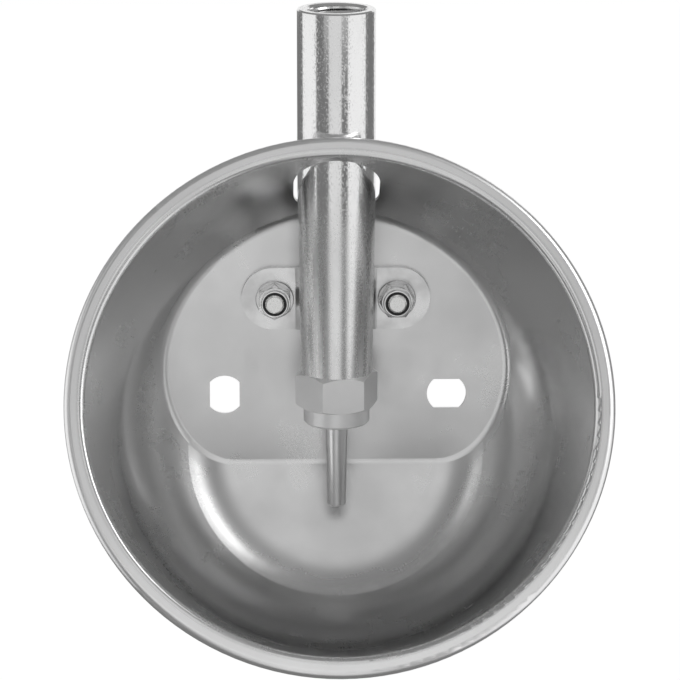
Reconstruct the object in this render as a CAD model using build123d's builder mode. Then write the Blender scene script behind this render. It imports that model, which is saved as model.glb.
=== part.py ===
"""Livestock drinking bowl with a tube valve, in millimetres.

The rear face of the back plate is the plane y = 0, the front is towards -Y and up is +Z.
The origin lies on that face, midway between the two wall slots.
"""

from build123d import *
from math import cos, radians, sin, sqrt, tan
import os

os.makedirs("parts", exist_ok=True)

# Sheet and pressing
sheet = 1.2
bowl_tilt = 27.5
heel_r = 40.0
heel_turn = 28.5
corner_r = 54.5
draft = 9.8
fold_z = -27.4
floor_rise = 1.8
plate_bend_r = 4.5
rim_d = 217.6
rim_flat = 2.83
rim_bend_r = 1.6
rim_lip = 1.6

# Wall slots, round holes with two flats
slot_spacing = 93.6
slot_d = 16.5
slot_flats = 12.5

# Studs, washers and lock nuts (M8)
stud_z = 42.2
stud_d = 8.0
stud_base_d = 9.0
stud_out = 0.8
washer_d = 16.0
washer_h = 1.6
nut_flats = 13.0
nut_hex_h = 5.8
nut_collar_d = 11.8
nut_h = 8.0
insert_d = 10.0
insert_h = 2.2

# Strap between the plate and the tube
strap_height = 26.4
strap_t = 2.5
strap_bend_r = 3.0
strap_end = 14.0
washer_gap = 1.1
crown_inset = 8.4
strap_joggle = 4.6
bead_length = 18.0
bead_width = 6.2

# Valve tube
tube_y = -22.0
tube_d = 32.0
tube_foot_d = 29.6
tube_top_z = 167.6
taper_z = 94.0
thread_bore_d = 24.12
thread_length = 17.0
tube_bore_d = 25.2
opening_side_gap = 1.6
opening_front_gap = 3.8
opening_back_gap = 1.2

# Valve cap
cap_top_z = 16.2
hex_flats = 30.0
hex_h = 15.0
hex_turn = 9.7
collar_d = 27.4
collar_h = 7.0
chamber_d = 19.0
floor_above_hex = 3.0
passage_d = 11.2
passage_mouth_d = 15.2

# Valve pin and what closes it
pin_d = 9.2
pin_tip_d = 7.6
pin_tip_z = -42.4
head_r = 8.2
head_land_r = 6.2
head_relief = 0.8
seat_h = 2.2
spring_wire = 1.2
spring_d = 12.4
spring_turns = 4.0
spring_length = 10.0
retainer_h = 1.5
ring_h = 1.0
strainer_d = 16.6
strainer_h = 13.0
strainer_t = 0.8

# Clearances
running_gap = 0.3
fit_gap = 0.06
seat_gap = 0.05
rim_gap = 0.717

# Derived sizes and places of the bowl
slope = radians(bowl_tilt)
lean = radians(draft)
heel = radians(heel_turn)
foot_depth = heel_r * (1 - cos(heel)) + corner_r * (cos(heel) - sin(lean))
foot_reach = heel_r * sin(heel) + corner_r * (cos(lean) - sin(heel))
rim_flat_r = rim_d / 2 - sheet - rim_bend_r
rim_foot_r = rim_flat_r - rim_flat - (sheet + rim_bend_r) * cos(lean)
lip_back_y = tube_y - tube_d / 2 - rim_gap
lip_depth = ((floor_rise + rim_d / 2) * sin(slope) - lip_back_y) / cos(slope)
wall_depth = lip_depth + rim_lip + (sheet + rim_bend_r) * sin(lean)
wall_run = (wall_depth - foot_depth) / cos(lean)
floor_r = rim_foot_r - wall_run * sin(lean) - foot_reach

# Derived places of the strap, the tube and the valve
front_y = -sheet
slot_x = slot_spacing / 2
strap_crown = tube_d - crown_inset
strap_foot_x = strap_crown / 2 + strap_joggle
stud_x = strap_foot_x + washer_d / 2 + washer_gap
strap_length = 2 * (stud_x + strap_end)
strap_front_y = front_y - strap_t
washer_front_y = strap_front_y - washer_h
nut_front_y = washer_front_y - nut_h
opening_width = tube_d + 2 * opening_side_gap
opening_front_y = tube_y - tube_d / 2 - opening_front_gap
cap_bottom_z = cap_top_z - hex_h
collar_bottom_z = cap_bottom_z - collar_h
chamber_floor_z = cap_bottom_z + floor_above_hex
pivot_z = chamber_floor_z + seat_h + running_gap
washer_r = head_r + running_gap
washer_outer_r = washer_r + 0.7
cup_r = washer_outer_r + running_gap
cup_top_z = pivot_z + cup_r + 2.0
retainer_z = cup_top_z + spring_length + 2 * seat_gap
ring_z = retainer_z + retainer_h + seat_gap
spigot_top_z = ring_z + ring_h + 2.6
thread_foot_z = spigot_top_z + 3.0
bowl_axis_dir = Vector(0, -cos(slope), sin(slope))
bowl_rise_dir = Vector(0, sin(slope), cos(slope))
bowl_base = Vector(0, 0, fold_z) + bowl_rise_dir * floor_rise
bowl_plane = Plane(origin=bowl_base, x_dir=-bowl_rise_dir, z_dir=(-1, 0, 0))
bowl_axis = Axis(bowl_base, bowl_axis_dir)
tube_axis = Axis((0, tube_y, 0), (0, 0, 1))
tube_plane = Plane(origin=(0, tube_y, 0), x_dir=(1, 0, 0), z_dir=(0, -1, 0))


def save(builder, name):
    """Name a finished piece and write it to its own file."""
    builder.part.label = name
    export_step(builder.part, f"parts/{name}.step")


def wall_radius(depth):
    """Inner radius of the bowl's conical wall at a depth along its axis."""
    return floor_r + foot_reach + (depth - foot_depth) * tan(lean)


def tube_radius(z):
    """Outer radius of the tube at a height, on its taper or above it."""
    share = min(max((z - cap_top_z) / (taper_z - cap_top_z), 0), 1)
    return (tube_foot_d + (tube_d - tube_foot_d) * share) / 2


# Bowl: the outside of the pressing and its rolled rim, then the cavity taken out of it
with BuildPart() as bowl_cavity:
    with BuildSketch(bowl_plane):
        with BuildLine():
            base = Line((0, 0), (floor_r, 0))
            heel_arc = JernArc(base @ 1, (1, 0), heel_r, heel_turn)
            corner = JernArc(heel_arc @ 1, heel_arc % 1, corner_r, 90 - draft - heel_turn)
            wall = Line(corner @ 1, corner @ 1 + (corner % 1) * wall_run)
            brim = JernArc(wall @ 1, wall % 1, rim_bend_r + sheet, draft - 90)
            lid = Line(brim @ 1, (0, (brim @ 1).Y))
            Line(lid @ 1, (0, 0))
        make_face()
    revolve(axis=bowl_axis)
    split(bisect_by=Plane.XZ.offset(sheet), keep=Keep.TOP)
    back_face = faces().filter_by(Axis.Y).sort_by(Axis.Y)[-1]
    fillet(back_face.edges(), radius=plate_bend_r)

with BuildPart() as bowl_shell:
    with BuildSketch(bowl_plane):
        with BuildLine():
            base = Line((0, -sheet), (floor_r, -sheet))
            heel_arc = JernArc(base @ 1, (1, 0), heel_r + sheet, heel_turn)
            corner = JernArc(heel_arc @ 1, heel_arc % 1, corner_r + sheet, 90 - draft - heel_turn)
            wall = Line(corner @ 1, corner @ 1 + (corner % 1) * wall_run)
            shoulder = Line(wall @ 1, (0, (wall @ 1).Y))
            Line(shoulder @ 1, base @ 0)
        make_face()
    revolve(axis=bowl_axis)
    split(bisect_by=Plane.XZ, keep=Keep.TOP)
    back_face = faces().filter_by(Axis.Y).sort_by(Axis.Y)[-1]
    fillet(back_face.edges(), radius=plate_bend_r + sheet)
    # Rolled rim: out from the wall, level, then down to a short lip
    with BuildSketch(bowl_plane):
        with BuildLine():
            brim = JernArc(wall @ 1, wall % 1, rim_bend_r, draft - 90)
            under = Line(brim @ 1, (rim_flat_r, (brim @ 1).Y))
            curl = JernArc(under @ 1, (1, 0), rim_bend_r, -90)
            lip = Line(curl @ 1, curl @ 1 - (0, rim_lip))
            edge = Line(lip @ 1, lip @ 1 + (sheet, 0))
            skirt = Line(edge @ 1, edge @ 1 + (0, rim_lip))
            crown = JernArc(skirt @ 1, (0, 1), rim_bend_r + sheet, 90)
            top = Line(crown @ 1, (0, (crown @ 1).Y))
            Polyline(top @ 1, shoulder @ 1, wall @ 1)
        make_face()
    revolve(axis=bowl_axis)
    add(bowl_cavity.part, mode=Mode.SUBTRACT)
    # Two wall slots, the flats upright on the left and level on the right
    for slot_centre, turn in ((-slot_x, 0), (slot_x, 90)):
        with BuildSketch(Plane.XZ.offset(-1)):
            with Locations((slot_centre, 0)):
                Circle(slot_d / 2)
                Rectangle(slot_flats, 2 * slot_d, rotation=turn, mode=Mode.INTERSECT)
        extrude(amount=2 + 2 * sheet, mode=Mode.SUBTRACT)
    # Opening for the tube, an obround punched square to the sloping upper wall
    wall_slope = slope + lean
    reach = opening_width / 2 * cos(wall_slope)
    arc_y = opening_front_y + reach
    back_reach = (tube_y + tube_d / 2 + opening_back_gap - opening_front_y) / cos(wall_slope)
    depth_at_arc = 0.0
    for _ in range(40):
        depth_at_arc += bowl_base.Y - arc_y - depth_at_arc * cos(slope) + wall_radius(depth_at_arc) * sin(slope)
    arc_z = (bowl_base + bowl_axis_dir * depth_at_arc + bowl_rise_dir * wall_radius(depth_at_arc)).Z
    punch_plane = Plane(
        origin=(0, arc_y, arc_z), x_dir=(1, 0, 0), z_dir=(0, sin(wall_slope), cos(wall_slope))
    )
    with BuildSketch(punch_plane):
        with Locations((0, (back_reach - opening_width) / 2)):
            SlotOverall(back_reach, opening_width, rotation=90)
    extrude(amount=12, both=True, mode=Mode.SUBTRACT)
save(bowl_shell, "bowl_shell")


# Strap: a hat section that stands the tube off the plate
strap_crown_y = tube_y + tube_radius(stud_z + strap_height / 2) + seat_gap
strap_plane = Plane.XY.offset(stud_z - strap_height / 2)

with BuildPart() as tube_bracket:
    with BuildSketch(strap_plane):
        with BuildLine():
            ear_y = front_y - strap_t / 2
            crown_y = strap_crown_y + strap_t / 2
            FilletPolyline(
                (-strap_length, ear_y),
                (-strap_foot_x, ear_y),
                (-strap_crown / 2, crown_y),
                (strap_crown / 2, crown_y),
                (strap_foot_x, ear_y),
                (strap_length, ear_y),
                radius=strap_bend_r,
            )
        trace(line_width=strap_t)
    extrude(amount=strap_height)
    with BuildSketch(Plane.XZ):
        with Locations((0, stud_z)):
            SlotOverall(strap_length, strap_height)
    extrude(amount=-tube_y, mode=Mode.INTERSECT)
    with Locations(Plane.XZ.offset(-strap_front_y)):
        with Locations((-stud_x, stud_z), (stud_x, stud_z)):
            Hole(radius=stud_base_d / 2 + running_gap, depth=strap_t + 1)
save(tube_bracket, "tube_bracket")


def weld_bead(side):
    """Weld in the vee between the strap's crown and the tube, on one side."""
    bead_z = stud_z - bead_length / 2
    inner_x = side * (strap_crown / 2 - bead_width)
    outer_x = side * strap_crown / 2
    with BuildPart() as bead:
        with BuildSketch(Plane.XY.offset(bead_z)):
            with BuildLine():
                foot = Line((inner_x, strap_crown_y - fit_gap), (outer_x, strap_crown_y - fit_gap))
                bulge = RadiusArc(foot @ 1, (outer_x + side * 0.2, strap_crown_y - 6.2), side * 12)
                Polyline(bulge @ 1, (inner_x, strap_crown_y - 4.0), foot @ 0)
            make_face()
        extrude(amount=bead_length)
        with BuildSketch(tube_plane):
            with BuildLine():
                Polyline(
                    (0, cap_top_z),
                    (tube_foot_d / 2 + fit_gap, cap_top_z),
                    (tube_d / 2 + fit_gap, taper_z),
                    (0, taper_z),
                    close=True,
                )
            make_face()
        revolve(axis=tube_axis, mode=Mode.SUBTRACT)
    return bead


save(weld_bead(-1), "left_weld_bead")
save(weld_bead(1), "right_weld_bead")


def weld_stud(x):
    """M8 stud on its weld base, ending just past the lock nut."""
    with BuildPart() as stud:
        with Locations(Plane.XZ.offset(-front_y)):
            with Locations((x, stud_z)):
                Cylinder(stud_base_d / 2, strap_t / 2, align=(Align.CENTER, Align.CENTER, Align.MIN))
                Cylinder(
                    stud_d / 2,
                    front_y - nut_front_y + stud_out,
                    align=(Align.CENTER, Align.CENTER, Align.MIN),
                )
        tip = faces().sort_by(Axis.Y)[0]
        chamfer(tip.edges(), length=0.8)
    return stud


def washer(x):
    """Plain washer on the strap's ear."""
    with BuildPart() as disc:
        with BuildSketch(Plane.XZ.offset(-strap_front_y)):
            with Locations((x, stud_z)):
                Circle(washer_d / 2)
                Circle(stud_d / 2 + 0.2, mode=Mode.SUBTRACT)
        extrude(amount=washer_h)
        front = faces().sort_by(Axis.Y)[0]
        chamfer(front.edges().sort_by(SortBy.RADIUS)[-1:], length=0.3)
    return disc


def lock_nut(x, turn):
    """Nylon-insert lock nut: chamfered hexagon, round collar and a recess for the ring."""
    with BuildPart() as nut:
        seat = Plane.XZ.offset(-washer_front_y)
        with BuildSketch(seat):
            with Locations((x, stud_z)):
                RegularPolygon(nut_flats / 2, 6, major_radius=False, rotation=turn)
        extrude(amount=nut_hex_h)
        nut_axis = Axis((x, 0, stud_z), (0, 1, 0))
        corner = nut_flats / sqrt(3)
        with BuildSketch(Plane(origin=(x, washer_front_y, stud_z), x_dir=(1, 0, 0), z_dir=(0, 0, 1))):
            with BuildLine():
                Polyline(
                    (0, 0),
                    (nut_flats / 2 - 0.2, 0),
                    (corner + 0.1, -0.8),
                    (corner + 0.1, 0.8 - nut_hex_h),
                    (nut_flats / 2 - 0.2, -nut_hex_h),
                    (0, -nut_hex_h),
                    close=True,
                )
            make_face()
        revolve(axis=nut_axis, mode=Mode.INTERSECT)
        with BuildSketch(seat.offset(nut_hex_h)):
            with Locations((x, stud_z)):
                Circle(nut_collar_d / 2)
        extrude(amount=nut_h - nut_hex_h)
        crown = faces().sort_by(Axis.Y)[0]
        fillet(crown.edges(), radius=0.6)
        with Locations(seat.offset(nut_h)):
            with Locations((x, stud_z)):
                CounterBoreHole(stud_d / 2 + seat_gap, insert_d / 2 + seat_gap, insert_h, nut_h)
    return nut


def nut_insert(x):
    """Nylon ring pressed into the front of the lock nut."""
    with BuildPart() as ring:
        with BuildSketch(Plane.XZ.offset(-nut_front_y)):
            with Locations((x, stud_z)):
                Circle(insert_d / 2)
                Circle(stud_d / 2 + seat_gap, mode=Mode.SUBTRACT)
        extrude(amount=-(insert_h - seat_gap))
    return ring


for side, stud_place, nut_turn in (("left", -stud_x, 30), ("right", stud_x, 0)):
    save(weld_stud(stud_place), f"{side}_weld_stud")
    save(washer(stud_place), f"{side}_washer")
    save(lock_nut(stud_place, nut_turn), f"{side}_lock_nut")
    save(nut_insert(stud_place), f"{side}_nut_insert")


# Valve tube: tapered towards the cap, threaded at the mouth and at the foot
with BuildPart() as valve_tube:
    with BuildSketch(tube_plane):
        with BuildLine():
            Polyline(
                (tube_foot_d / 2, cap_top_z),
                (tube_d / 2, taper_z),
                (tube_d / 2, tube_top_z - 0.6),
                (tube_d / 2 - 0.6, tube_top_z),
                (thread_bore_d / 2 + 1.0, tube_top_z),
                (thread_bore_d / 2, tube_top_z - 1.0),
                (thread_bore_d / 2, tube_top_z - 1.0 - thread_length),
                (tube_bore_d / 2, tube_top_z - 2.0 - thread_length),
                (tube_bore_d / 2, thread_foot_z + 1.0),
                (thread_bore_d / 2, thread_foot_z),
                (thread_bore_d / 2, cap_top_z + 0.5),
                (thread_bore_d / 2 + 0.5, cap_top_z),
                close=True,
            )
        make_face()
    revolve(axis=tube_axis)
save(valve_tube, "valve_tube")


# Valve cap: hexagon with a turned chamfer, collar below, threaded spigot above
hex_corner = hex_flats / sqrt(3)
hex_chamfer_r = hex_flats / 2 - 0.1
hex_chamfer_h = (hex_corner - hex_chamfer_r) * tan(radians(32))
spigot_d = thread_bore_d - 2 * fit_gap

with BuildPart() as valve_cap:
    with BuildSketch(Plane.XY.offset(cap_bottom_z)):
        with Locations((0, tube_y)):
            RegularPolygon(hex_flats / 2, 6, major_radius=False, rotation=hex_turn)
    extrude(amount=hex_h)
    with BuildSketch(tube_plane):
        with BuildLine():
            Polyline(
                (0, cap_bottom_z),
                (hex_chamfer_r, cap_bottom_z),
                (hex_corner, cap_bottom_z + hex_chamfer_h),
                (hex_corner, cap_top_z - hex_chamfer_h),
                (hex_chamfer_r, cap_top_z),
                (0, cap_top_z),
                close=True,
            )
        make_face()
    revolve(axis=tube_axis, mode=Mode.INTERSECT)
    # Collar and spigot
    with BuildSketch(tube_plane):
        with BuildLine():
            Polyline(
                (0, collar_bottom_z),
                (collar_d / 2 - 0.9, collar_bottom_z),
                (collar_d / 2, collar_bottom_z + 0.9),
                (collar_d / 2, cap_bottom_z),
                (spigot_d / 2, cap_top_z),
                (spigot_d / 2, spigot_top_z - 1.0),
                (spigot_d / 2 - 1.0, spigot_top_z),
                (0, spigot_top_z),
                close=True,
            )
        make_face()
    revolve(axis=tube_axis)
    # Chamber, ring groove and the flared passage that lets the pin lean
    with BuildSketch(tube_plane):
        with BuildLine():
            Polyline(
                (0, collar_bottom_z - 1),
                (passage_mouth_d / 2 + 0.3, collar_bottom_z - 1),
                (passage_mouth_d / 2, collar_bottom_z),
                (passage_d / 2, chamber_floor_z),
                (chamber_d / 2, chamber_floor_z),
                (chamber_d / 2, ring_z - fit_gap),
                (chamber_d / 2 + 0.8, ring_z - fit_gap),
                (chamber_d / 2 + 0.8, ring_z + ring_h + fit_gap),
                (chamber_d / 2, ring_z + ring_h + fit_gap),
                (chamber_d / 2, spigot_top_z + 1),
                (0, spigot_top_z + 1),
                close=True,
            )
        make_face()
    revolve(axis=tube_axis, mode=Mode.SUBTRACT)
save(valve_cap, "valve_cap")


# Rubber seat on the chamber's floor
with BuildPart() as seat_ring:
    with BuildSketch(Plane.XY.offset(chamber_floor_z)):
        with Locations((0, tube_y)):
            Circle(chamber_d / 2 - fit_gap)
            Circle(passage_d / 2, mode=Mode.SUBTRACT)
    extrude(amount=seat_h)
save(seat_ring, "seat_ring")


# Pin: tapered stem under a domed head whose dome is centred on the pivot
with BuildPart() as valve_pin:
    with BuildSketch(tube_plane):
        with BuildLine():
            rim_z = pivot_z + head_relief
            rim_r = sqrt(head_r**2 - head_relief**2)
            under = Polyline(
                (0, pin_tip_z),
                (pin_tip_d / 2 - 0.8, pin_tip_z),
                (pin_tip_d / 2, pin_tip_z + 0.8),
                (pin_d / 2, collar_bottom_z),
                (pin_d / 2, pivot_z),
                (head_land_r, pivot_z),
                (rim_r, rim_z),
            )
            dome = RadiusArc(under @ 1, (0, pivot_z + head_r), -head_r)
            Line(dome @ 1, under @ 0)
        make_face()
    revolve(axis=tube_axis)
save(valve_pin, "valve_pin")


# Swivel washer: a ring of a spherical shell between the pin's dome and the cup
with BuildPart() as swivel_washer:
    with Locations((0, tube_y, pivot_z)):
        Sphere(washer_outer_r)
        Sphere(washer_r, mode=Mode.SUBTRACT)
        Cylinder(3.0, 4 * cup_r, mode=Mode.SUBTRACT)
    with Locations((0, tube_y, pivot_z + 6.4)):
        Cylinder(
            cup_r, 2 * cup_r, align=(Align.CENTER, Align.CENTER, Align.MAX), mode=Mode.SUBTRACT
        )
save(swivel_washer, "swivel_washer")


# Spring cup: guided in the chamber, hollow below, with water grooves in its side
cup_guide_r = chamber_d / 2 - running_gap
cup_foot_z = pivot_z + sqrt(cup_r**2 - cup_guide_r**2) + 2.2
spring_inner_d = spring_d - spring_wire

with BuildPart() as spring_cup:
    with Locations((0, tube_y, cup_foot_z)):
        Cylinder(cup_guide_r, cup_top_z - cup_foot_z, align=(Align.CENTER, Align.CENTER, Align.MIN))
    with Locations((0, tube_y, cup_top_z)):
        Cylinder(
            spring_inner_d / 2 - running_gap, 1.5, align=(Align.CENTER, Align.CENTER, Align.MIN)
        )
    with Locations((0, tube_y, pivot_z)):
        Sphere(cup_r, mode=Mode.SUBTRACT)
    with Locations((0, tube_y, cup_foot_z - 1)):
        with PolarLocations(cup_guide_r + 0.6, 4, start_angle=45):
            Cylinder(
                2.0, 2 * cup_r, align=(Align.CENTER, Align.CENTER, Align.MIN), mode=Mode.SUBTRACT
            )
save(spring_cup, "spring_cup")


# Valve spring
with BuildPart() as valve_spring:
    coil_z = cup_top_z + seat_gap + spring_wire / 2
    coil_height = spring_length - spring_wire
    with BuildLine():
        coil = Helix(coil_height / spring_turns, coil_height, spring_d / 2, center=(0, tube_y, coil_z))
    with BuildSketch(Plane(origin=coil @ 0, z_dir=coil % 0)):
        Circle(spring_wire / 2)
    sweep(path=coil, is_frenet=True)
save(valve_spring, "valve_spring")


# Spring retainer: perforated disc under the retaining ring
with BuildPart() as spring_retainer:
    with BuildSketch(Plane.XY.offset(retainer_z)):
        with Locations((0, tube_y)):
            Circle(chamber_d / 2 - running_gap / 2)
            Circle(2.0, mode=Mode.SUBTRACT)
        with Locations((0, tube_y)):
            with PolarLocations(5.6, 6):
                Circle(1.4, mode=Mode.SUBTRACT)
    extrude(amount=retainer_h)
save(spring_retainer, "spring_retainer")


# Retaining ring: open ring sprung into the cap's groove
with BuildPart() as retaining_ring:
    with BuildSketch(Plane.XY.offset(ring_z)):
        with Locations((0, tube_y)):
            Circle(chamber_d / 2 + 0.6)
            Circle(chamber_d / 2 - 1.2, mode=Mode.SUBTRACT)
        with Locations((0, tube_y + chamber_d / 2)):
            Rectangle(5.0, 5.0, mode=Mode.SUBTRACT)
    extrude(amount=ring_h)
save(retaining_ring, "retaining_ring")


# Inlet strainer: thimble with a skirt in the chamber and a flange on the spigot
skirt_foot_z = ring_z + ring_h + 0.5
strainer_top_z = spigot_top_z + strainer_h
skirt_r = chamber_d / 2 - fit_gap

with BuildPart() as inlet_strainer:
    with BuildSketch(tube_plane):
        with BuildLine():
            Polyline(
                (skirt_r - strainer_t, skirt_foot_z),
                (skirt_r, skirt_foot_z),
                (skirt_r, spigot_top_z),
                (spigot_d / 2 - 0.4, spigot_top_z),
                (spigot_d / 2 - 0.4, spigot_top_z + strainer_t),
                (strainer_d / 2, spigot_top_z + strainer_t),
                (strainer_d / 2, strainer_top_z - 1.5),
                (strainer_d / 2 - 1.5, strainer_top_z),
                (0, strainer_top_z),
                (0, strainer_top_z - strainer_t),
                (strainer_d / 2 - 1.9, strainer_top_z - strainer_t),
                (strainer_d / 2 - strainer_t, strainer_top_z - 1.9),
                (strainer_d / 2 - strainer_t, spigot_top_z),
                (skirt_r - strainer_t, spigot_top_z),
                close=True,
            )
        make_face()
    revolve(axis=tube_axis)
    for row in range(3):
        with Locations((0, tube_y, spigot_top_z + 3.0 + 3.2 * row)):
            with PolarLocations(0, 4, start_angle=22.5 * row):
                Cylinder(1.1, strainer_d + 2, rotation=(90, 0, 0), mode=Mode.SUBTRACT)
    with Locations((0, tube_y, strainer_top_z)):
        with PolarLocations(3.6, 6):
            Hole(radius=1.1, depth=2)
save(inlet_strainer, "inlet_strainer")
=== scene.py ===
"""Looks of a wall-mounted livestock drinking bowl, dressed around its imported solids.

Lengths are metres in the part's own frame: the back plate's rear face is y = 0, the front is
towards -Y, up is +Z, and the origin lies midway between the two wall slots.
"""

from __future__ import annotations

import logging
import math
from dataclasses import dataclass
from enum import Enum

import bpy
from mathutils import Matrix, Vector


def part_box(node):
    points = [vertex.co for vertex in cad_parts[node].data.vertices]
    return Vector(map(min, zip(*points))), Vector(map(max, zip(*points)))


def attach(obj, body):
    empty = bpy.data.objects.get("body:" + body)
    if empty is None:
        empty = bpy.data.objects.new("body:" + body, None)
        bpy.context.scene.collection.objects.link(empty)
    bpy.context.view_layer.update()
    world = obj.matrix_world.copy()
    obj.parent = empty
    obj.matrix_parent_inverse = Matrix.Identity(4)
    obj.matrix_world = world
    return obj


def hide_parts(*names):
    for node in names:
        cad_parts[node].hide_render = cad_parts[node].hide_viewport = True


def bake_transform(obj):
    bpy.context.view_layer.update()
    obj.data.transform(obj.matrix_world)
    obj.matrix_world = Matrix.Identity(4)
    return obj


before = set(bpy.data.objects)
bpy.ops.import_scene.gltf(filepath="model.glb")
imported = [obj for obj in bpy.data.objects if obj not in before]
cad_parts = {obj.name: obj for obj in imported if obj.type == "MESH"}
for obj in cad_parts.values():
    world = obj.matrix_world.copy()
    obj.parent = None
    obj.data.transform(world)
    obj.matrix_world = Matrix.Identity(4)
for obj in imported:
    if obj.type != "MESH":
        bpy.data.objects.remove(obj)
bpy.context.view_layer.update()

log = logging.getLogger("drinking_bowl")

Colour = tuple[float, float, float]
Point = tuple[float, float, float]
Face = tuple[int, ...]
Socket = bpy.types.NodeSocket
Value = Socket | float | tuple[float, ...]

MM = 0.001
BACKWARD = (0.0, 1.0, 0.0)
WHITE = (1.0, 1.0, 1.0, 1.0)

# Nearly all values of a noise texture lie between these two.
NOISE_LOW, NOISE_HIGH = 0.3, 0.7

# The bowl's axis leans up by TILT, and its turned floor starts FLOOR_RISE above the fold.
TILT = math.radians(27.5)
FOLD_Z = -27.4 * MM
FLOOR_RISE = 1.8 * MM
BOWL_AXIS = (0.0, -math.cos(TILT), math.sin(TILT))
BOWL_BASE = (0.0, math.sin(TILT) * FLOOR_RISE, FOLD_Z + math.cos(TILT) * FLOOR_RISE)
TUBE_Y = -22 * MM


class Graph:
    """Grows the node tree of one material or of the world."""

    def __init__(self, tree: bpy.types.NodeTree) -> None:
        """Start from an empty tree.

        Args:
            tree: the node tree to fill.
        """
        self.tree = tree
        tree.nodes.clear()

    def node(self, kind: str, **settings: object) -> bpy.types.Node:
        """Add a node.

        Args:
            kind: the node's type name.
            settings: attributes to set on it.

        Returns:
            The new node.
        """
        made = self.tree.nodes.new(kind)
        for key, value in settings.items():
            setattr(made, key, value)
        return made

    def put(self, source: Value, target: Socket) -> None:
        """Link a socket to an input, or set the input's own value.

        Args:
            source: the socket or the value to put there.
            target: the input.
        """
        if isinstance(source, bpy.types.NodeSocket):
            self.tree.links.new(source, target)
        else:
            target.default_value = source

    def deliver(self, shader: bpy.types.Node, kind: str = "ShaderNodeOutputMaterial") -> None:
        """Lead a shader to the tree's output."""
        self.put(shader.outputs[0], self.node(kind).inputs["Surface"])

    def math(
        self, operation: str, first: Value, second: Value = 0.0, clamp: bool = False
    ) -> Socket:
        """Add a Math node.

        Args:
            operation: Blender's name of the operation.
            first: the first operand, a socket or a number.
            second: the second operand, a socket or a number.
            clamp: keep the result between 0 and 1.

        Returns:
            The result's socket.
        """
        made = self.node("ShaderNodeMath", operation=operation, use_clamp=clamp)
        self.put(first, made.inputs[0])
        self.put(second, made.inputs[1])
        return made.outputs[0]

    def vector(self, operation: str, first: Value, second: Value = (0.0, 0.0, 0.0)) -> Socket:
        """Add a Vector Math node.

        Args:
            operation: Blender's name of the operation.
            first: the first vector, a socket or three numbers.
            second: the second vector, a socket or three numbers.

        Returns:
            The result's socket, the number for a dot product or a length.
        """
        made = self.node("ShaderNodeVectorMath", operation=operation)
        self.put(first, made.inputs[0])
        if operation not in ("NORMALIZE", "LENGTH"):
            self.put(second, made.inputs[1])
        return made.outputs["Value" if operation in ("DOT_PRODUCT", "LENGTH") else "Vector"]

    def scaled(self, vector: Socket, scale: tuple[float, float, float]) -> Socket:
        """Multiply a vector by three factors."""
        return self.vector("MULTIPLY", vector, scale)

    def joined(self, x: Value, y: Value, z: Value) -> Socket:
        """Make a vector of three parts.

        Args:
            x: its first part, a socket or a number.
            y: its second part.
            z: its third part.

        Returns:
            The vector's socket.
        """
        made = self.node("ShaderNodeCombineXYZ")
        for part, target in zip((x, y, z), made.inputs):
            self.put(part, target)
        return made.outputs[0]

    def noise(
        self, vector: Socket, scale: float, detail: float = 3.0, rough: float = 0.55
    ) -> Socket:
        """Add a noise texture.

        Args:
            vector: where to read it.
            scale: lumps per unit of the vector.
            detail: octaves.
            rough: how strong the finer octaves are.

        Returns:
            The noise value's socket, about 0.5 on average.
        """
        made = self.node("ShaderNodeTexNoise")
        self.put(vector, made.inputs["Vector"])
        self.put(scale, made.inputs["Scale"])
        self.put(detail, made.inputs["Detail"])
        self.put(rough, made.inputs["Roughness"])
        return made.outputs[0]

    def spread(
        self, value: Socket, low: float, high: float, to_low: float, to_high: float
    ) -> Socket:
        """Map a value from one range to another, smoothly and without overshoot.

        Args:
            value: the value to map.
            low: the start of its range.
            high: the end of its range.
            to_low: the result at the start.
            to_high: the result at the end.

        Returns:
            The mapped value's socket.
        """
        made = self.node("ShaderNodeMapRange", interpolation_type="SMOOTHSTEP")
        for part, target in zip((value, low, high, to_low, to_high), made.inputs):
            self.put(part, target)
        return made.outputs[0]

    def over(self, noise: Socket, to_low: float, to_high: float) -> Socket:
        """Map the usual range of a noise to two values."""
        return self.spread(noise, NOISE_LOW, NOISE_HIGH, to_low, to_high)

    def blend(self, share: Value, first: Value, second: Value) -> Socket:
        """Mix two colours.

        Args:
            share: how much of the second to take, a socket or a number.
            first: the first colour.
            second: the second colour.

        Returns:
            The mixed colour's socket.
        """
        made = self.node("ShaderNodeMix", data_type="RGBA")
        self.put(share, made.inputs["Factor"])
        for source, target in ((first, made.inputs[6]), (second, made.inputs[7])):
            linked = isinstance(source, bpy.types.NodeSocket)
            self.put(source if linked else (*source, 1.0), target)
        return made.outputs[2]

    def bump(
        self, height: Socket, strength: float, depth: float, under: Socket | None = None
    ) -> Socket:
        """Add a bump.

        Args:
            height: the height's socket.
            strength: how much of it shows.
            depth: what a height of 1 stands for, in metres.
            under: a bump that lies under this one.

        Returns:
            The normal's socket.
        """
        made = self.node("ShaderNodeBump")
        self.put(strength, made.inputs["Strength"])
        self.put(depth, made.inputs["Distance"])
        self.put(height, made.inputs["Height"])
        if under is not None:
            self.put(under, made.inputs["Normal"])
        return made.outputs[0]


def shade(colour: Colour, factor: float) -> Colour:
    """Return a colour made lighter or darker by a factor."""
    return tuple(min(1.0, part * factor) for part in colour)


def new_material(name: str) -> tuple[bpy.types.Material, Graph]:
    """Make an empty node material.

    Args:
        name: the material's name.

    Returns:
        The material and its node tree, ready to grow.
    """
    made = bpy.data.materials.new(name)
    made.use_nodes = True
    return made, Graph(made.node_tree)


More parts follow.
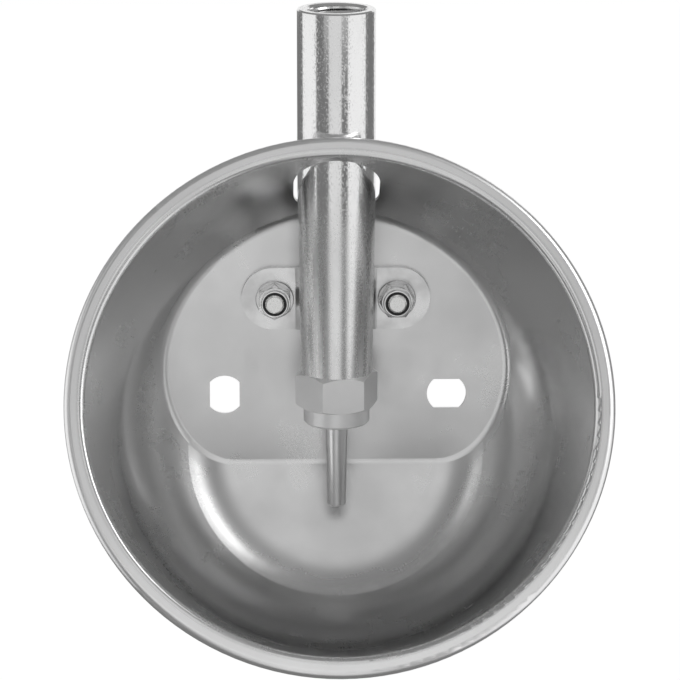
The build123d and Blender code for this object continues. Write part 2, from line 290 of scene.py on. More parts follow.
@dataclass(frozen=True)
class Finish:
    """A plain finish that the others build on."""

    name: str
    colour: Colour
    rough: float = 0.4
    metal: float = 1.0
    glossier: float = 0.05
    duller: float = 0.06
    worn_shade: float = 0.9
    cloud_scale: float = 60.0
    grain_scale: float = 900.0
    grain_depth: float = 0.02 * MM
    grain_relief: float = 0.25

    def material(self) -> bpy.types.Material:
        """Build the finish's material.

        Returns:
            The material, with its surface ready.
        """
        made, graph = new_material(self.name)
        surface = graph.node("ShaderNodeBsdfPrincipled")
        surface.inputs["Metallic"].default_value = self.metal
        self.dress(graph, surface)
        graph.deliver(surface)
        made.diffuse_color = (*self.colour, 1.0)
        return made

    def place(self, graph: Graph) -> Socket:
        """Return where each point lies in the part's frame, in metres."""
        return graph.node("ShaderNodeTexCoord").outputs["Object"]

    def worn(self, graph: Graph, share: Socket) -> Socket:
        """Return the colour, in its worn shade where the share is low."""
        return graph.blend(share, shade(self.colour, self.worn_shade), self.colour)

    def dress(self, graph: Graph, surface: bpy.types.Node) -> None:
        """Set the surface's colour, roughness and relief.

        Args:
            graph: the material's node tree.
            surface: the shader to dress.
        """
        spot = self.place(graph)
        grain = graph.noise(spot, self.grain_scale, detail=4.0)
        tone = graph.over(graph.noise(spot, self.cloud_scale), 0.0, 1.0)
        gloss = graph.over(grain, self.rough - self.glossier, self.rough + self.duller)
        graph.put(self.worn(graph, tone), surface.inputs["Base Color"])
        graph.put(gloss, surface.inputs["Roughness"])
        relief = graph.bump(grain, self.grain_relief, self.grain_depth)
        graph.put(relief, surface.inputs["Normal"])


@dataclass(frozen=True)
class LathedSteel(Finish):
    """Steel turned or spun about an axis: fine rings, smudges and a circling gloss."""

    origin: Point = (0.0, 0.0, 0.0)
    axis: Point = (0.0, 0.0, 1.0)
    worn_shade: float = 0.93
    cloud_scale: float = 34.0
    ring_pitch: float = 0.35 * MM
    ring_depth: float = 0.006 * MM
    ring_relief: float = 0.5
    ring_waver: float = 0.004
    ring_detail: float = 2.0
    ring_gloss: float = 0.05
    smudge: float = 0.06
    pull: float = 0.35

    def around(self, graph: Graph, spot: Socket) -> tuple[Socket, Socket, Socket]:
        """Find each point's place around the axis.

        Args:
            graph: the material's node tree.
            spot: the point's place.

        Returns:
            Sockets of the height along the axis, the distance from it and the circling direction.
        """
        reach = graph.vector("SUBTRACT", spot, self.origin)
        height = graph.vector("DOT_PRODUCT", reach, self.axis)
        circling = graph.vector("CROSS_PRODUCT", reach, self.axis)
        return height, graph.vector("LENGTH", circling), graph.vector("NORMALIZE", circling)

    def rings(self, graph: Graph, spot: Socket, height: Socket, radius: Socket) -> Socket:
        """Draw the fine rings that the tool leaves.

        Args:
            graph: the material's node tree.
            spot: the point's place.
            height: its height along the axis.
            radius: its distance from the axis.

        Returns:
            The rings' value.
        """
        waver = graph.scaled(spot, (self.ring_waver,) * 3)
        where = graph.vector("ADD", graph.joined(height, radius, 0.0), waver)
        return graph.noise(where, 1.0 / self.ring_pitch, self.ring_detail)

    def smudged(self, graph: Graph, cloud: Socket) -> Socket:
        """Return the roughness with the smudges on it."""
        return graph.over(cloud, self.rough + self.smudge, self.rough - self.smudge / 2)

    def circle(self, graph: Graph, surface: bpy.types.Node, circling: Socket) -> None:
        """Draw the gloss out around the axis."""
        surface.inputs["Anisotropic"].default_value = self.pull
        graph.put(circling, surface.inputs["Tangent"])

    def dress(self, graph: Graph, surface: bpy.types.Node) -> None:
        """Set the surface's colour, roughness and relief.

        Args:
            graph: the material's node tree.
            surface: the shader to dress.
        """
        spot = self.place(graph)
        height, radius, circling = self.around(graph, spot)
        rings = self.rings(graph, spot, height, radius)
        cloud = graph.noise(spot, self.cloud_scale, detail=4.0)
        graph.put(self.worn(graph, graph.over(cloud, 0.0, 1.0)), surface.inputs["Base Color"])
        marks = graph.math("MULTIPLY", rings, self.ring_gloss)
        gloss = graph.math("ADD", self.smudged(graph, cloud), marks)
        graph.put(gloss, surface.inputs["Roughness"])
        relief = graph.bump(rings, self.ring_relief, self.ring_depth)
        graph.put(relief, surface.inputs["Normal"])
        self.circle(graph, surface, circling)


@dataclass(frozen=True)
class DrawnBowl(LathedSteel):
    """Deep-drawn stainless sheet: circling polish on the wall, plain rolled sheet on the plate,
    and a painted sheen that lifts the rim's colour.
    """

    worn_shade: float = 0.95
    cloud_scale: float = 22.0
    cloud_depth: float = 0.6 * MM
    cloud_relief: float = 0.04
    grain_scale: float = 1400.0
    grain_depth: float = 0.01 * MM
    grain_relief: float = 0.15
    ring_relief: float = 0.35
    ring_waver: float = 0.006
    ring_detail: float = 3.0
    ring_gloss: float = 0.035
    draw_scale: float = 120.0
    draw_stretch: float = 1.5
    stain_scale: float = 75.0
    stain_range: tuple[float, float] = (0.55, 0.75)
    stain_dull: float = 0.03
    plate_edge: float = -5.5 * MM
    plate_fade: float = 3 * MM
    floor_near: float = 0.4 * MM
    floor_far: float = 3.0 * MM
    flat_satin: float = 0.06
    rim_edge: float = 103.2 * MM
    rim_fade: float = 1 * MM
    rim_satin: float = 0.10
    # How much lighter the rim's base colour is made: a painted sheen on the rolled rim.
    rim_painted_sheen: float = 1.22

    def flats(self, graph: Graph, spot: Socket, height: Socket) -> Socket:
        """Find the back plate and the small lower floor, which aren't polished round.

        Args:
            graph: the material's node tree.
            spot: the point's place.
            height: its height along the bowl's axis.

        Returns:
            A socket that is 1 on the flats and 0 on the wall.
        """
        depth = graph.vector("DOT_PRODUCT", spot, BACKWARD)
        plate = graph.spread(depth, self.plate_edge, self.plate_edge + self.plate_fade, 0.0, 1.0)
        floor = graph.spread(height, self.floor_near, self.floor_far, 1.0, 0.0)
        return graph.math("MAXIMUM", plate, floor)

    def draw_lines(self, graph: Graph, height: Socket, circling: Socket) -> Socket:
        """Draw the lines that run up the wall from the press.

        Args:
            graph: the material's node tree.
            height: the point's height along the bowl's axis.
            circling: the circling direction at the point.

        Returns:
            The lines' value.
        """
        along = graph.joined(graph.math("MULTIPLY", height, self.draw_stretch), 0.0, 0.0)
        return graph.noise(graph.vector("ADD", circling, along), self.draw_scale, detail=2.0)

    def dress(self, graph: Graph, surface: bpy.types.Node) -> None:
        """Set the surface's colour, roughness and relief.

        Args:
            graph: the material's node tree.
            surface: the shader to dress.
        """
        spot = self.place(graph)
        height, radius, circling = self.around(graph, spot)
        flat = self.flats(graph, spot, height)
        polish = self.rings(graph, spot, height, radius)
        draw = self.draw_lines(graph, height, circling)
        cloud = graph.noise(spot, self.cloud_scale, detail=5.0)
        stain = graph.noise(graph.scaled(spot, (1.0, 1.0, 0.6)), self.stain_scale)
        rim = graph.spread(radius, self.rim_edge, self.rim_edge + self.rim_fade, 0.0, 1.0)

        sheet = self.worn(graph, graph.over(cloud, 0.0, 1.0))
        # Painted sheen: the base colour is made lighter on the rolled rim to stand for its bright
        # reflection.
        painted_rim_sheen = shade(self.colour, self.rim_painted_sheen)
        graph.put(graph.blend(rim, sheet, painted_rim_sheen), surface.inputs["Base Color"])

        marks = graph.math("MULTIPLY", graph.math("ADD", polish, draw), self.ring_gloss)
        flat_satin = graph.math("MULTIPLY", flat, self.flat_satin)
        rim_satin = graph.math("MULTIPLY", rim, self.rim_satin)
        satin = graph.math("MAXIMUM", flat_satin, rim_satin)
        dull = graph.spread(stain, *self.stain_range, 0.0, self.stain_dull)
        worn = graph.math("ADD", self.smudged(graph, cloud), marks)
        gloss = graph.math("ADD", worn, graph.math("ADD", satin, dull))
        graph.put(gloss, surface.inputs["Roughness"])

        grain = graph.noise(spot, self.grain_scale, detail=2.0)
        low = graph.bump(cloud, self.cloud_relief, self.cloud_depth)
        mid = graph.bump(polish, self.ring_relief, self.ring_depth, low)
        relief = graph.bump(grain, self.grain_relief, self.grain_depth, mid)
        graph.put(relief, surface.inputs["Normal"])
        self.circle(graph, surface, circling)


@dataclass(frozen=True)
class MottledPlating(LathedSteel):
    """Bright zinc on drawn tube: lengthwise marks and a mottled skin that fades near the cap."""

    worn_shade: float = 0.6
    worn_rough: float = 0.23
    worn_range: tuple[float, float] = (0.45, 0.7)
    worn_share: float = 0.18
    cloud_scale: float = 90.0
    draw_scale: float = 650.0
    draw_depth: float = 0.02 * MM
    draw_relief: float = 0.3
    draw_dull: float = 0.08
    pit_scale: float = 1500.0
    pit_range: tuple[float, float] = (0.52, 0.68)
    pit_depth: float = 0.035 * MM
    pit_relief: float = 0.5
    pit_dull: float = 0.10
    mottle_foot: float = 65 * MM
    mottle_head: float = 110 * MM

    def dress(self, graph: Graph, surface: bpy.types.Node) -> None:
        """Set the surface's colour, roughness and relief.

        Args:
            graph: the material's node tree.
            surface: the shader to dress.
        """
        spot = self.place(graph)
        height = self.around(graph, spot)[0]
        specks = graph.noise(graph.scaled(spot, (1.0, 1.0, 0.6)), self.pit_scale, rough=0.6)
        draw = graph.noise(graph.scaled(spot, (1.0, 1.0, 0.02)), self.draw_scale)
        cloud = graph.noise(graph.scaled(spot, (1.0, 1.0, 0.35)), self.cloud_scale, detail=4.0)
        skin = graph.spread(height, self.mottle_foot, self.mottle_head, 0.0, 1.0)
        pits = graph.spread(specks, *self.pit_range, 0.0, 1.0)

        dull = graph.spread(cloud, *self.worn_range, 0.0, self.worn_share)
        tone = graph.blend(dull, self.colour, shade(self.colour, self.worn_shade))
        graph.put(tone, surface.inputs["Base Color"])

        bare = graph.spread(skin, 0.0, 1.0, self.worn_rough, self.rough)
        worn = graph.math("ADD", bare, graph.math("MULTIPLY", draw, self.draw_dull))
        gloss = graph.math("ADD", worn, graph.math("MULTIPLY", pits, self.pit_dull))
        graph.put(gloss, surface.inputs["Roughness"])

        low = graph.bump(graph.math("MULTIPLY", pits, skin), self.pit_relief, self.pit_depth)
        relief = graph.bump(draw, self.draw_relief, self.draw_depth, low)
        graph.put(relief, surface.inputs["Normal"])


@dataclass(frozen=True)
class PressedStrap(Finish):
    """Pressed strip: a rolled grain along its length and dull marks from handling."""

    glossier: float = 0.04
    duller: float = 0.07
    worn_shade: float = 0.82
    cloud_scale: float = 70.0
    cloud_range: tuple[float, float] = (0.35, 0.65)
    grain_scale: float = 1500.0
    grain_relief: float = 0.3

    def dress(self, graph: Graph, surface: bpy.types.Node) -> None:
        """Set the surface's colour, roughness and relief.

        Args:
            graph: the material's node tree.
            surface: the shader to dress.
        """
        spot = self.place(graph)
        roll = graph.noise(graph.scaled(spot, (0.05, 1.0, 1.0)), self.grain_scale)
        cloud = graph.noise(spot, self.cloud_scale, detail=5.0)
        tone = graph.spread(cloud, *self.cloud_range, 0.0, 1.0)
        gloss = graph.over(cloud, self.rough + self.duller, self.rough - self.glossier)
        graph.put(self.worn(graph, tone), surface.inputs["Base Color"])
        graph.put(gloss, surface.inputs["Roughness"])
        relief = graph.bump(roll, self.grain_relief, self.grain_depth)
        graph.put(relief, surface.inputs["Normal"])


@dataclass(frozen=True)
class WeldMetal(Finish):
    """Bare weld: ripples across the run and a darker heat tint."""

    duller: float = 0.1
    worn_shade: float = 0.45
    cloud_scale: float = 300.0
    cloud_range: tuple[float, float] = (0.35, 0.65)
    ripple_scale: float = 160.0
    ripple_waver: float = 6.0
    ripple_depth: float = 0.3 * MM
    ripple_relief: float = 0.6

    def dress(self, graph: Graph, surface: bpy.types.Node) -> None:
        """Set the surface's colour, roughness and relief.

        Args:
            graph: the material's node tree.
            surface: the shader to dress.
        """
        spot = self.place(graph)
        ripple = graph.node("ShaderNodeTexWave", bands_direction="Z")
        graph.put(spot, ripple.inputs["Vector"])
        graph.put(self.ripple_scale, ripple.inputs["Scale"])
        graph.put(self.ripple_waver, ripple.inputs["Distortion"])
        cloud = graph.noise(spot, self.cloud_scale, detail=4.0)
        tint = graph.spread(cloud, *self.cloud_range, 0.0, 1.0)
        gloss = graph.spread(tint, 0.0, 1.0, self.rough + self.duller, self.rough)
        graph.put(self.worn(graph, tint), surface.inputs["Base Color"])
        graph.put(gloss, surface.inputs["Roughness"])
        relief = graph.bump(ripple.outputs[1], self.ripple_relief, self.ripple_depth)
        graph.put(relief, surface.inputs["Normal"])


@dataclass(frozen=True)
class ThreadedSteel(Finish):
    """Rolled thread shown as relief around an axis that runs front to back."""

    glossier: float = 0.04
    duller: float = 0.08
    worn_shade: float = 0.75
    grain_scale: float = 1100.0
    grain_depth: float = 0.04 * MM
    grain_relief: float = 0.3
    thread_pitch: float = 1.25 * MM
    thread_depth: float = 0.3 * MM
    thread_relief: float = 0.5

    def dress(self, graph: Graph, surface: bpy.types.Node) -> None:
        """Set the surface's colour, roughness and relief.

        Args:
            graph: the material's node tree.
            surface: the shader to dress.
        """
        spot = self.place(graph)
        depth = graph.vector("DOT_PRODUCT", spot, BACKWARD)
        phase = graph.math("MULTIPLY", depth, 2 * math.pi / self.thread_pitch)
        grain = graph.noise(spot, self.grain_scale, detail=4.0)
        gloss = graph.over(grain, self.rough - self.glossier, self.rough + self.duller)
        graph.put(self.worn(graph, grain), surface.inputs["Base Color"])
        graph.put(gloss, surface.inputs["Roughness"])
        low = graph.bump(graph.math("SINE", phase), self.thread_relief, self.thread_depth)
        relief = graph.bump(grain, self.grain_relief, self.grain_depth, low)
        graph.put(relief, surface.inputs["Normal"])


class Metal(Enum):
    """Base colours of the bare and plated metals."""

    STAINLESS = (0.72, 0.72, 0.72)
    STRAP = (0.80, 0.80, 0.80)
    PLATED = (0.82, 0.82, 0.82)
    WASHER = (0.62, 0.62, 0.62)
    NUT = (0.74, 0.74, 0.74)
    TURNED = (0.90, 0.90, 0.90)
    STUD = (0.86, 0.86, 0.85)
    BRASS = (0.72, 0.56, 0.28)
    WELD = (0.50, 0.49, 0.47)


class Polymer(Enum):
    """Base colours of the plastics and the rubber."""

    NYLON = (0.012, 0.012, 0.013)
    RUBBER = (0.015, 0.015, 0.015)
    ACETAL = (0.82, 0.81, 0.78)


def dress(node: str, finish: Finish) -> None:
    """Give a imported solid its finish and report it.

    Args:
        node: the solid's name.
        finish: the finish to build for it.
    """
    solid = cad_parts[node]
    solid.data.materials.clear()
    solid.data.materials.append(finish.material())
    log.info("%s dressed as %s", node, finish.name)


def link_mesh(
    name: str, points: list[Point], faces: list[Face], material: bpy.types.Material
) -> bpy.types.Object:
    """Make a mesh object and link it to the scene.

    Args:
        name: the object's name.
        points: its corners, in the part's frame.
        faces: its faces, as indices into the corners.
        material: its only material.

    Returns:
        The new object.
    """
    mesh = bpy.data.meshes.new(name)
    mesh.from_pydata([tuple(point) for point in points], [], faces)
    mesh.materials.append(material)
    made = bpy.data.objects.new(name, mesh)
    bpy.context.scene.collection.objects.link(made)
    return made


def mesh_piece(
    name: str, points: list[Vector], faces: list[Face], finish: Finish, smooth: bool = True
) -> bpy.types.Object:
    """Make a piece of the part from a mesh and report it.

    Args:
        name: the piece's name.
        points: its corners, in the part's frame.
        faces: its faces, as indices into the corners.
        finish: the finish to build for it.
        smooth: whether its faces are shaded as one curved surface.

    Returns:
        The new piece, linked to the scene.
    """
    piece = link_mesh(name, points, faces, finish.material())
    mesh = piece.data
    mesh.validate()
    mesh.polygons.foreach_set("use_smooth", [smooth] * len(mesh.polygons))
    log.info("%s built with %d faces", name, len(faces))
    return piece


@dataclass
class Basin:
    """The pressed bowl with its rolled rim and flat back plate."""

    ring_pitch: float = 0.45 * MM

    def build(self) -> None:
        """Dress the bowl's sheet."""
        sheet = DrawnBowl(
            "drawn_stainless",
            Metal.STAINLESS.value,
            rough=0.20,
            origin=BOWL_BASE,
            axis=BOWL_AXIS,
            ring_pitch=self.ring_pitch,
        )
        dress("bowl_shell", sheet)


@dataclass
class TubeFixing:
    """The strap that carries the tube, its welds, and the studs, washers and nuts on each side."""

    sides: tuple[str, ...] = ("left", "right")

    def fasteners(self, side: str) -> None:
        """Dress the weld, the stud, the washer and the lock nut of one side.

        Args:
            side: which side of the tube they are on.
        """
        low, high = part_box(f"{side}_weld_stud")
        turned = {"origin": ((low + high) / 2).to_tuple(), "axis": BACKWARD}
        weld = WeldMetal("weld_metal", Metal.WELD.value, rough=0.42)
        stud = ThreadedSteel("stud_thread", Metal.STUD.value, rough=0.24)
        washer = LathedSteel("washer_plating", Metal.WASHER.value, rough=0.20, **turned)
        nut = LathedSteel("nut_plating", Metal.NUT.value, rough=0.12, **turned)
        insert = Finish("black_nylon", Polymer.NYLON.value, rough=0.5, metal=0.0)
        dress(f"{side}_weld_bead", weld)
        dress(f"{side}_weld_stud", stud)
        dress(f"{side}_washer", washer)
        dress(f"{side}_lock_nut", nut)
        dress(f"{side}_nut_insert", insert)

    def build(self) -> None:
        """Dress the strap and the fasteners."""
        dress("tube_bracket", PressedStrap("pressed_strap", Metal.STRAP.value, rough=0.30))
        for side in self.sides:
            self.fasteners(side)


@dataclass
class TubeThread:
    """The inside thread at the tube's mouth, a helical ridge standing in from the wall."""

    root: float = 12.03 * MM
    crest: float = 11.35 * MM
    pitch: float = 1.81 * MM
    top: float = 166.0 * MM
    turns: float = 8.0
    steps: int = 56
    least_ridge: float = 0.05
    profile: tuple[float, ...] = (-0.44, 0.0, 0.44)

    def ridge(self) -> list[Vector]:
        """Run the ridge's profile down the helix, fading in and out over half a turn.

        Returns:
            The ridge's corners, three for each step.
        """
        count = int(self.turns * self.steps)
        half_turn = self.steps / 2
        points: list[Vector] = []
        for step in range(count + 1):
            angle = 2 * math.pi * step / self.steps
            height = self.top - self.pitch * step / self.steps
            fade = min(1.0, step / half_turn, (count - step) / half_turn)
            crest = self.root - (self.root - self.crest) * max(fade, self.least_ridge)
            for share, radius in zip(self.profile, (self.root, crest, self.root)):
                x = radius * math.cos(angle)
                y = TUBE_Y + radius * math.sin(angle)
                points.append(Vector((x, y, height + share * self.pitch)))
        return points

    def skin(self, count: int) -> list[Face]:
        """Join the profiles into a closed skin.

        Args:
            count: how many steps the helix has.

        Returns:
            The ridge's faces, with a cap at each end.
        """
        faces: list[Face] = []
        for step in range(count):
            base = 3 * step
            for edge in range(3):
                other = (edge + 1) % 3
                faces.append((base + edge, base + other, base + 3 + other, base + 3 + edge))
        faces.append((2, 1, 0))
        faces.append((3 * count, 3 * count + 1, 3 * count + 2))
        return faces

    def build(self) -> None:
        """Build the ridge and let it ride with the fixed parts."""
        finish = LathedSteel(
            "cut_thread",
            Metal.TURNED.value,
            rough=0.25,
            origin=(0.0, TUBE_Y, 0.0),
            ring_pitch=0.3 * MM,
        )
        faces = self.skin(int(self.turns * self.steps))
        piece = mesh_piece("inlet_thread", self.ridge(), faces, finish, smooth=False)
        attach(piece, "frame")


@dataclass
class ClosingSpring:
    """The valve's closing spring, whose coils close up as the cup under it lifts."""

    wire: float = 1.2 * MM
    diameter: float = 12.4 * MM
    length: float = 10.0 * MM
    foot: float = 16.25 * MM
    turns: int = 4
    steps: int = 40
    around: int = 12

    def wire_rings(self, count: int) -> list[Vector]:
        """Run the wire's round section up the coil.

        Args:
            count: how many steps the coil has.

        Returns:
            The wire's corners, ring by ring.
        """
        rise = (self.length - self.wire) / count
        points: list[Vector] = []
        for step in range(count + 1):
            angle = 2 * math.pi * step / self.steps
            outward = Vector((math.cos(angle), math.sin(angle), 0.0))
            base = Vector((0.0, TUBE_Y, self.foot + self.wire / 2 + rise * step))
            centre = outward * self.diameter / 2 + base
            for spoke in range(self.around):
                turn = 2 * math.pi * spoke / self.around
                lift = Vector((0.0, 0.0, math.sin(turn)))
                points.append(centre + (outward * math.cos(turn) + lift) * self.wire / 2)
        return points

    def skin(self, count: int) -> list[Face]:
        """Join the rings into a closed wire.

        Args:
            count: how many steps the coil has.

        Returns:
            The wire's faces, with a cap at each end.
        """
        faces: list[Face] = []
        for step in range(count):
            low = step * self.around
            high = low + self.around
            for spoke in range(self.around):
                after = (spoke + 1) % self.around
                faces.append((low + after, low + spoke, high + spoke, high + after))
        faces.append(tuple(range(self.around)))
        faces.append(tuple(reversed(range(count * self.around, (count + 1) * self.around))))
        return faces

    def build(self) -> None:
        """Build the coil and hide the imported spring in its place."""
        count = self.turns * self.steps
        middle = (0.0, TUBE_Y, 0.0)
        finish = LathedSteel("spring_wire", Metal.STAINLESS.value, rough=0.28, origin=middle)
        coil = mesh_piece("closing_coil", self.wire_rings(count), self.skin(count), finish)
        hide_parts("valve_spring")
        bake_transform(coil)


@dataclass
class Valve:
    """The tube, its cap and what opens and closes the water."""

    axis_point: Point = (0.0, TUBE_Y, 0.0)

    def lathed(self, node: str, name: str, metal: Metal, rough: float) -> None:
        """Dress one of the turned pieces on the tube's axis.

        Args:
            node: the solid's name.
            name: the finish's name.
            metal: what it is made of.
            rough: how rough it is.
        """
        dress(node, LathedSteel(name, metal.value, rough=rough, origin=self.axis_point))

    def build(self) -> None:
        """Dress the tube, the cap, the pin and the pieces inside."""
        here = {"origin": self.axis_point}
        plating = MottledPlating(
            "mottled_plating", Metal.PLATED.value, rough=0.06, pull=0.0, **here
        )
        cap = LathedSteel(
            "turned_cap", Metal.TURNED.value, rough=0.40, ring_pitch=0.5 * MM, **here
        )
        dress("valve_tube", plating)
        dress("valve_cap", cap)
        self.lathed("valve_pin", "turned_pin", Metal.STAINLESS, rough=0.26)
        dress("seat_ring", Finish("seat_rubber", Polymer.RUBBER.value, rough=0.6, metal=0.0))
        for node in ("swivel_washer", "spring_cup"):
            dress(node, Finish("white_acetal", Polymer.ACETAL.value, rough=0.38, metal=0.0))
        self.lathed("retaining_ring", "ring_wire", Metal.STAINLESS, rough=0.28)
        self.lathed("spring_retainer", "turned_brass", Metal.BRASS, rough=0.3)
        self.lathed("inlet_strainer", "strainer_steel", Metal.STAINLESS, rough=0.3)


@dataclass(frozen=True)
class Opening:
    """One clear field of the veil, in degrees round from the front and up from level."""

    azimuth: float
    elevation: float
    half_width: float
    half_height: float
    share: float
    side_edge: float = 2.0
    end_edge: float = 5.0

    def clear(self, graph: Graph, turn: Socket, height: Socket) -> Socket:
        """Work out how clear this field makes the veil in each direction.

        Args:
            graph: the material's node tree.
            turn: degrees round from the front.
            height: degrees up from level.

        Returns:
            A socket that is the field's share inside it and 0 outside.
        """
        side = graph.math("ABSOLUTE", graph.math("SUBTRACT", turn, self.azimuth))
        end = graph.math("ABSOLUTE", graph.math("SUBTRACT", height, self.elevation))
        wide, tall = self.half_width, self.half_height
        across = graph.spread(side, wide - self.side_edge, wide + self.side_edge, self.share, 0.0)
        upward = graph.spread(end, tall - self.end_edge, tall + self.end_edge, 1.0, 0.0)
        return graph.math("MULTIPLY", across, upward)


@dataclass
class Veil:
    """A grey veil around the part that lets the white surroundings into its reflections."""

    radius: float = 0.78
    around: int = 48
    up: int = 24
    low_share: float = 0.20
    high_share: float = 0.28
    high_from: float = 70.0
    openings: tuple[Opening, ...] = (
        Opening(61.0, -16.0, 30.0, 24.0, 0.80),
        Opening(64.0, 34.0, 22.0, 27.0, 0.80),
        Opening(-88.5, 0.0, 27.5, 30.0, 0.80, side_edge=3.0),
        Opening(-52.0, 37.0, 6.0, 12.0, 0.20, side_edge=3.0),
        Opening(-5.0, -20.0, 18.0, 23.0, 0.62),
        Opening(-4.0, 13.0, 33.0, 9.0, 0.70),
        Opening(0.0, 37.0, 14.0, 14.0, 0.62, side_edge=4.0),
        Opening(160.0, 0.0, 20.0, 40.0, 0.75),
        Opening(-163.0, 17.0, 20.0, 11.0, 0.80),
    )

    def cloth(self) -> bpy.types.Material:
        """Build the veil's cloth.

        Returns:
            A material that is clear or grey by direction from the veil's middle.
        """
        made, graph = new_material("veil_cloth")
        way = graph.vector("NORMALIZE", graph.node("ShaderNodeTexCoord").outputs["Object"])
        parts = graph.node("ShaderNodeSeparateXYZ")
        graph.put(way, parts.inputs[0])
        across, backward, rise = parts.outputs
        forward = graph.math("MULTIPLY", backward, -1.0)
        turn = graph.math("DEGREES", graph.math("ARCTAN2", across, forward))
        height = graph.math("DEGREES", graph.math("ARCSINE", rise))
        clear = graph.spread(height, 0.0, self.high_from, self.low_share, self.high_share)
        for opening in self.openings:
            clear = graph.math("ADD", clear, opening.clear(graph, turn, height), clamp=True)
        veil = graph.node("ShaderNodeBsdfTransparent")
        graph.put(graph.joined(clear, clear, clear), veil.inputs["Color"])
        graph.deliver(veil)
        return made

    def shell(self) -> tuple[list[Point], list[Face]]:
        """Lay out the veil's round shell.

        Returns:
            Its corners and its faces.
        """
        points = [(0.0, 0.0, -self.radius), (0.0, 0.0, self.radius)]
        for ring in range(1, self.up):
            height = math.pi * (ring / self.up - 0.5)
            level, rise = self.radius * math.cos(height), self.radius * math.sin(height)
            for spoke in range(self.around):
                turn = 2 * math.pi * spoke / self.around
                points.append((level * math.cos(turn), level * math.sin(turn), rise))
        faces: list[Face] = []
        last = 2 + (self.up - 2) * self.around
        for spoke in range(self.around):
            after = (spoke + 1) % self.around
            faces.append((0, 2 + after, 2 + spoke))
            faces.append((1, last + spoke, last + after))
            for ring in range(self.up - 2):
                low = 2 + ring * self.around
                high = low + self.around
                faces.append((low + spoke, low + after, high + after, high + spoke))
        return points, faces

    def build(self) -> None:
        """Hang the veil around the part, where only reflections show it."""
        veil = link_mesh("veil", *self.shell(), self.cloth())
        veil.visible_camera = False
        veil.visible_diffuse = False
        veil.visible_transmission = False
        veil.visible_shadow = False
        log.info("veil hung with %d openings", len(self.openings))


@dataclass(frozen=True)
class SoftLamp:
    """A rectangular soft lamp: its place, its width and height, and its power in watts."""

    name: str
    place: Point
    size: tuple[float, float]
    power: float

    def hang(self) -> None:
        """Hang the lamp so that it faces the part."""
        data = bpy.data.lights.new(self.name, "AREA")
        data.shape = "RECTANGLE"
        data.size, data.size_y = self.size
        data.energy = self.power
        lamp = bpy.data.objects.new(self.name, data)
        lamp.location = self.place
        lamp.rotation_mode = "QUATERNION"
        lamp.rotation_quaternion = (-Vector(self.place)).to_track_quat("-Z", "Y")
        bpy.context.scene.collection.objects.link(lamp)


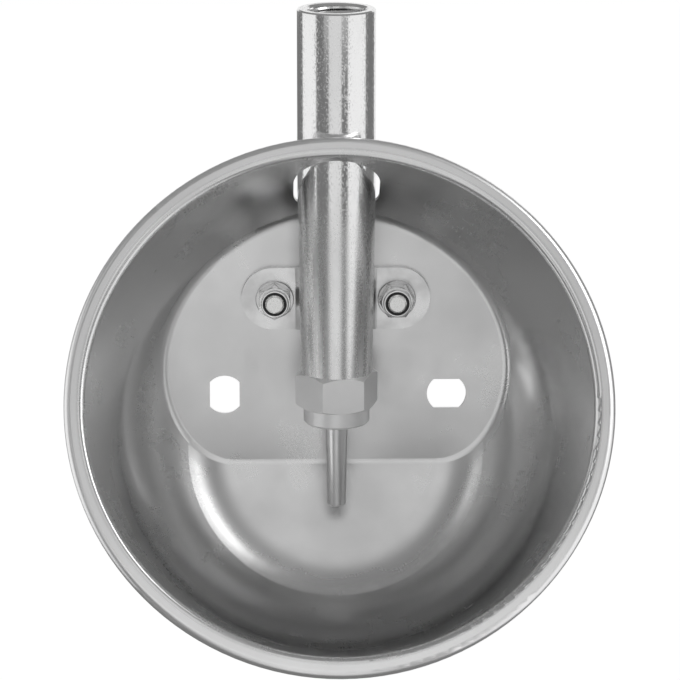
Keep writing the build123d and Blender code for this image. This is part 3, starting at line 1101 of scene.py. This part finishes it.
@dataclass
class Studio:
    """White surroundings, soft lamps and the floor."""

    floor_z: float = -0.80
    floor_half: float = 6.0
    floor_white: float = 0.8
    floor_seen: float = 1.01
    fill: float = 0.6
    lamps: tuple[SoftLamp, ...] = (
        SoftLamp("right_softbox", (0.473, -0.252, 0.45), (0.24, 0.42), 0.7),
        SoftLamp("left_softbox", (-0.441, -0.344, 0.421), (0.09, 0.26), 0.06),
    )

    def when_seen(self, graph: Graph) -> Socket:
        """Tell the rays of an eye, a mirror or glass, which see white, from those that only light.

        Args:
            graph: the node tree.

        Returns:
            A socket that is 1 for what is looked at and 0 for what is only lit.
        """
        rays = graph.node("ShaderNodeLightPath").outputs
        seen = graph.math("MAXIMUM", rays["Is Camera Ray"], rays["Is Transmission Ray"])
        return graph.math("MAXIMUM", seen, rays["Is Glossy Ray"])

    def surroundings(self) -> None:
        """Fill the world: white to look at, an even fill for what it lights."""
        world = bpy.data.worlds.new("studio")
        bpy.context.scene.world = world
        world.use_nodes = True
        world.cycles.sampling_method = "NONE"
        graph = Graph(world.node_tree)
        around = graph.node("ShaderNodeBackground")
        around.inputs["Color"].default_value = WHITE
        seen = graph.math("MULTIPLY", self.when_seen(graph), 1.0 - self.fill)
        graph.put(graph.math("ADD", seen, self.fill), around.inputs["Strength"])
        graph.deliver(around, "ShaderNodeOutputWorld")

    def floor_paint(self) -> bpy.types.Material:
        """Build the floor's paint, which looks white and keeps the part's shadow.

        Returns:
            The paint's material.
        """
        made, graph = new_material("pale_floor")
        matt = graph.node("ShaderNodeBsdfDiffuse")
        matt.inputs["Color"].default_value = (self.floor_white,) * 3 + (1.0,)
        lift = graph.node("ShaderNodeEmission")
        missing = self.floor_seen - self.floor_white * self.fill
        graph.put(graph.math("MULTIPLY", self.when_seen(graph), missing), lift.inputs["Strength"])
        both = graph.node("ShaderNodeAddShader")
        graph.put(matt.outputs[0], both.inputs[0])
        graph.put(lift.outputs[0], both.inputs[1])
        graph.deliver(both)
        return made

    def lay_floor(self) -> None:
        """Lay the pale floor."""
        half = self.floor_half
        outline = ((-half, -half), (half, -half), (half, half), (-half, half))
        corners = [(x, y, self.floor_z) for x, y in outline]
        floor = link_mesh("floor", corners, [(0, 1, 2, 3)], self.floor_paint())

    def build(self) -> None:
        """Set up the world, the floor, the veil and the lamps."""
        self.surroundings()
        self.lay_floor()
        Veil().build()
        for lamp in self.lamps:
            lamp.hang()
        bpy.context.scene.view_settings.view_transform = "Standard"
        log.info("studio ready with %d lamps", len(self.lamps))


@dataclass
class ViewCamera:
    """The camera, a long lens looking down a little from the front."""

    azimuth: float = -1.17
    elevation: float = 14.99
    distance: float = 1.377
    aim: Point = (1.87 * MM, 0.0, 23.25 * MM)
    lens: float = 173.25
    sensor: float = 36.0
    far: float = 50.0

    def build(self) -> None:
        """Place the camera and make it the scene's own."""
        around, above = math.radians(self.azimuth), math.radians(self.elevation)
        level = math.cos(above)
        back = Vector((math.sin(around) * level, -math.cos(around) * level, math.sin(above)))
        data = bpy.data.cameras.new("view")
        data.lens = self.lens
        data.sensor_width = self.sensor
        data.clip_end = self.far
        camera = bpy.data.objects.new("view", data)
        camera.location = Vector(self.aim) + back * self.distance
        camera.rotation_mode = "QUATERNION"
        camera.rotation_quaternion = (-back).to_track_quat("-Z", "Y")
        bpy.context.scene.collection.objects.link(camera)
        bpy.context.scene.camera = camera
        log.info("camera placed")


def main() -> None:
    """Build everything in order."""
    logging.basicConfig(level=logging.INFO, format="%(name)s: %(message)s")
    assemblies = (
        Basin(),
        TubeFixing(),
        Valve(),
        TubeThread(),
        ClosingSpring(),
        Studio(),
        ViewCamera(),
    )
    for assembly in assemblies:
        assembly.build()


if __name__ == "__main__":
    main()
